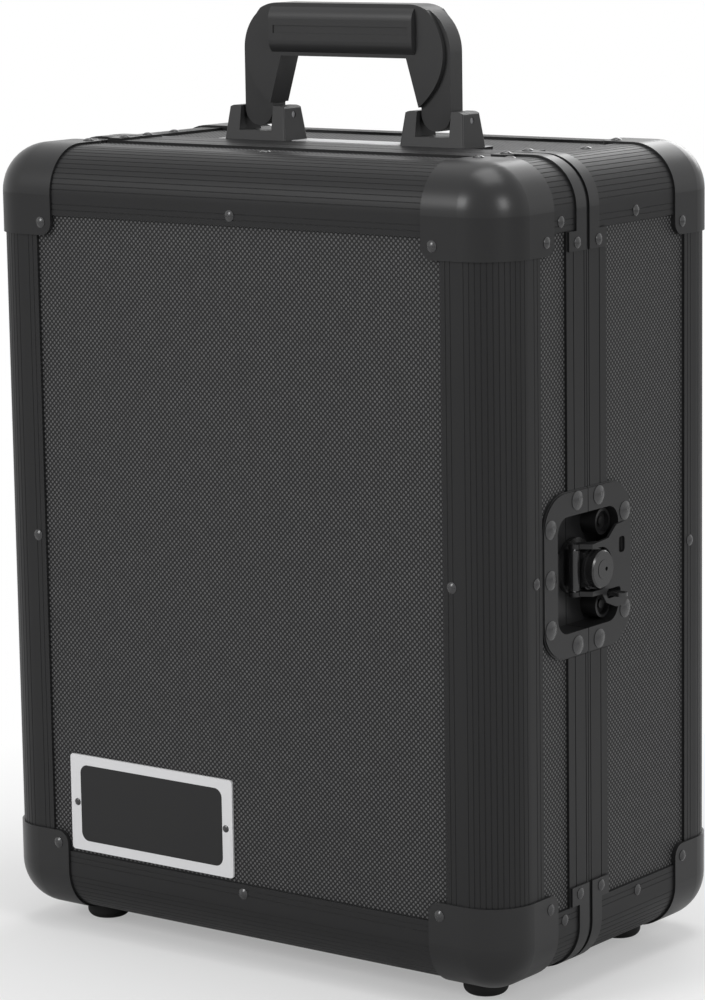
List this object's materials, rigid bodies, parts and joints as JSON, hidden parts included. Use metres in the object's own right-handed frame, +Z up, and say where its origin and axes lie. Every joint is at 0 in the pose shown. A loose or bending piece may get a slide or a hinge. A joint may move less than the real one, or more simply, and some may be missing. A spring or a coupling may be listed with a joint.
{
  "type": "flight case",
  "caption": "Upright flight case with ribbed extrusion edges, ball corners, a side hinged lid, a recessed turn latch and a folding carrying bail.",
  "frame": {"origin": "on the plane of the foot soles, under the middle of the case", "axes": "+Z up, +X to the right of the lid as it is faced, +Y from the lid towards the back"},
  "size_m": [0.3613, 0.2126, 0.5105],
  "materials": {
    "laminate_panel": "black laminate with a fine dimpled grain",
    "black_extrusion": "satin black anodised, fine ribs",
    "black_steel": "satin black powder coat",
    "rivet_metal": "satin black",
    "foot_rubber": "matt",
    "lining_foam": "matt charcoal foam",
    "handle_plastic": "fine satin",
    "bracket_plastic": "fine satin",
    "plate_metal": "bright satin",
    "plate_field": "satin dark",
    "bright_steel": "bright",
    "dull_steel": "dull zinc",
    "dark_zinc": "satin dark"
  },
  "bodies": {
    "base": {"base_bottom_panel": "laminate_panel", "base_bottom_rail": "black_extrusion", "base_corner_caps": "black_steel", "base_depth_rails": "black_extrusion", "base_face_foam": "lining_foam", "base_face_panel": "laminate_panel", "base_feet": "foot_rubber", "base_foot_screws": "dull_steel", "base_hinge_leaves": "black_steel", "base_latch_dish": "black_steel", "base_left_panel": "laminate_panel", "base_left_rail": "black_extrusion", "base_right_panel": "laminate_panel", "base_right_rail": "black_extrusion", "base_rim": "black_extrusion", "base_rim_straps": "black_steel", "base_rivets": "rivet_metal", "base_side_foam": "lining_foam", "base_top_panel": "laminate_panel", "base_top_rail": "black_extrusion", "handle_backing": "dull_steel", "handle_left_bracket": "bracket_plastic", "handle_pins": "dull_steel", "handle_plate": "dark_zinc", "handle_right_bracket": "bracket_plastic", "handle_screws": "dull_steel", "hinge_pins": "dull_steel"},
    "lid": {"lid_bottom_panel": "laminate_panel", "lid_bottom_rail": "black_extrusion", "lid_corner_caps": "black_steel", "lid_depth_rails": "black_extrusion", "lid_face_foam": "lining_foam", "lid_face_panel": "laminate_panel", "lid_feet": "foot_rubber", "lid_foot_screws": "dull_steel", "lid_hinge_leaves": "black_steel", "lid_latch_dish": "black_steel", "lid_left_panel": "laminate_panel", "lid_left_rail": "black_extrusion", "lid_right_panel": "laminate_panel", "lid_right_rail": "black_extrusion", "lid_rim": "black_extrusion", "lid_rim_straps": "black_steel", "lid_rivets": "rivet_metal", "lid_side_foam": "lining_foam", "lid_top_panel": "laminate_panel", "lid_top_rail": "black_extrusion", "name_plate": "plate_metal", "name_plate_field": "plate_field"},
    "handle": {"handle_bail": "handle_plastic"},
    "latch_rotor": {"latch_rotor": "dark_zinc", "latch_staple": "dark_zinc", "latch_retainer": "dull_steel"},
    "latch_leaf": {"latch_leaf": "black_steel", "latch_pin": "bright_steel"},
    "lock_plug": {"latch_plug": "dark_zinc"}
  },
  "joints": [
    {"name": "lid_hinge", "type": "hinge", "parent": "base", "child": "lid", "pos_m": [-0.1745, -0.02625, 0.2235], "axis": [0, 0, -1], "range_deg": [0, 180]},
    {"name": "handle_fold", "type": "hinge", "parent": "base", "child": "handle", "pos_m": [0, 0.00355, 0.4497], "axis": [1, 0, 0], "range_deg": [-90, 90]},
    {"name": "latch_turn", "type": "hinge", "parent": "base", "child": "latch_rotor", "pos_m": [0.17, -0.02105, 0.2235], "axis": [1, 0, 0], "range_deg": [0, 180]},
    {"name": "leaf_lift", "type": "hinge", "parent": "latch_rotor", "child": "latch_leaf", "pos_m": [0.165, -0.03125, 0.2235], "axis": [0, 0, -1], "range_deg": [0, 100]},
    {"name": "lock_turn", "type": "hinge", "parent": "latch_rotor", "child": "lock_plug", "pos_m": [0.17, -0.02105, 0.2235], "axis": [1, 0, 0], "range_deg": [0, 90]}
  ]
}
